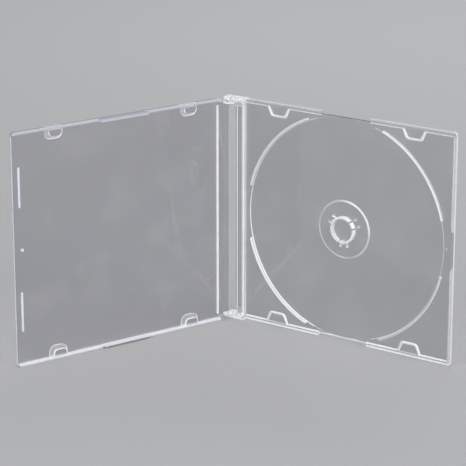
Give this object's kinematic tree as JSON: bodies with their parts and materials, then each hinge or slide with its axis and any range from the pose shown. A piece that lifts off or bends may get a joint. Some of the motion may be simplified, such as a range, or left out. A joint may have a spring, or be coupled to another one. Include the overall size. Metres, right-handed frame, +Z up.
{
  "type": "slim disc case",
  "caption": "Slim clear plastic case for an optical disc: hinged lid and a tray with a spring-finger hub, standing open.",
  "frame": {"origin": "centre of the open case's outline at floor level", "axes": "+Z up along the hinge axis, +X from the lid's side towards the tray's side, +Y away from the opening towards the spine"},
  "size_m": [0.2254, 0.0852, 0.125],
  "materials": {
    "clear_tray": "polished clear polystyrene",
    "clear_lid": "polished clear polystyrene"
  },
  "bodies": {
    "tray": {"tray": "clear_tray"},
    "lid": {"lid": "clear_lid"}
  },
  "joints": [
    {"name": "lid_hinge", "type": "hinge", "parent": "tray", "child": "lid", "pos_m": [-0.0002, 0.03785, 0], "axis": [0, 0, 1], "range_deg": [-71.3, 108.7]}
  ]
}
